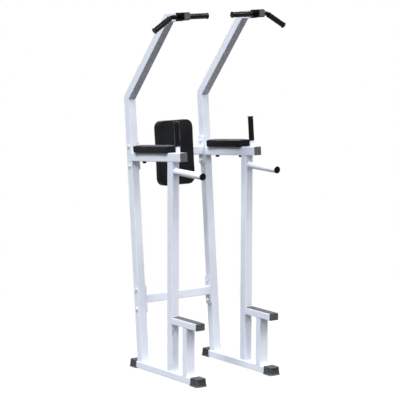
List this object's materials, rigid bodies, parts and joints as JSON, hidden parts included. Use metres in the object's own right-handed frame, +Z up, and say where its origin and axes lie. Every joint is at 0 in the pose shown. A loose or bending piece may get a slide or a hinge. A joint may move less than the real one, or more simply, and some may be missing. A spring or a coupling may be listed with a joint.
{
  "type": "dip station",
  "caption": "Freestanding dip and pull-up station with leaning side frames of square tube, padded armrests and back pad, hand grips, dip handles, steps and angled pull-up handles.",
  "frame": {"origin": "on the floor, under the middle of the overall box", "axes": "+Z up; -Y is the front, where the user steps on; +X points to the right-hand frame as seen from the front"},
  "size_m": [0.926, 0.7656, 2.1178],
  "materials": {
    "white_powder_coat": "white powder coat, satin",
    "black_powder_coat": "black powder coat, satin",
    "black_vinyl": "black upholstery vinyl, soft sheen, fine grain",
    "black_rubber": "black grip rubber, matt",
    "boot_rubber": "dark grey moulded rubber, matt",
    "grey_plastic": "grey moulded end plug, matt",
    "black_plastic": "black moulded plastic, satin",
    "tread_grip": "grey anti-slip strip, gritty and matt",
    "zinc_plate": "bright zinc plate",
    "board_backing": "plywood board under black backing cloth"
  },
  "bodies": {
    "root": {"left_base_runner": "white_powder_coat", "left_front_boot": "boot_rubber", "left_rear_boot": "boot_rubber", "left_front_upright": "white_powder_coat", "left_rear_upright": "white_powder_coat", "left_upper_arm": "white_powder_coat", "left_top_tube": "white_powder_coat", "left_pull_up_bar": "black_powder_coat", "left_pull_up_plug": "grey_plastic", "left_inner_grip": "black_rubber", "left_outer_grip": "black_rubber", "left_armrest_tube": "white_powder_coat", "left_armrest_cap": "grey_plastic", "left_arm_pad": "black_vinyl", "left_arm_pad_bolt_1": "black_plastic", "left_arm_pad_bolt_2": "black_plastic", "left_grip_post": "white_powder_coat", "left_hand_grip": "black_rubber", "left_dip_handle": "white_powder_coat", "left_dip_handle_cap": "black_plastic", "left_step_post": "white_powder_coat", "left_step_tube": "white_powder_coat", "left_step_tread": "tread_grip", "left_step_cap": "grey_plastic", "left_lower_flange_bolt_1": "zinc_plate", "left_lower_flange_bolt_2": "zinc_plate", "left_upper_flange_bolt_1": "zinc_plate", "left_upper_flange_bolt_2": "zinc_plate", "right_base_runner": "white_powder_coat", "right_front_boot": "boot_rubber", "right_rear_boot": "boot_rubber", "right_front_upright": "white_powder_coat", "right_rear_upright": "white_powder_coat", "right_upper_arm": "white_powder_coat", "right_top_tube": "white_powder_coat", "right_pull_up_bar": "black_powder_coat", "right_pull_up_plug": "grey_plastic", "right_inner_grip": "black_rubber", "right_outer_grip": "black_rubber", "right_armrest_tube": "white_powder_coat", "right_armrest_cap": "grey_plastic", "right_arm_pad": "black_vinyl", "right_arm_pad_bolt_1": "black_plastic", "right_arm_pad_bolt_2": "black_plastic", "right_grip_post": "white_powder_coat", "right_hand_grip": "black_rubber", "right_dip_handle": "white_powder_coat", "right_dip_handle_cap": "black_plastic", "right_step_post": "white_powder_coat", "right_step_tube": "white_powder_coat", "right_step_tread": "tread_grip", "right_step_cap": "grey_plastic", "right_lower_flange_bolt_1": "zinc_plate", "right_lower_flange_bolt_2": "zinc_plate", "right_upper_flange_bolt_1": "zinc_plate", "right_upper_flange_bolt_2": "zinc_plate", "lower_crossbar": "white_powder_coat", "upper_crossbar": "white_powder_coat", "back_pad": "black_vinyl", "back_pad_board": "board_backing"}
  },
  "joints": []
}
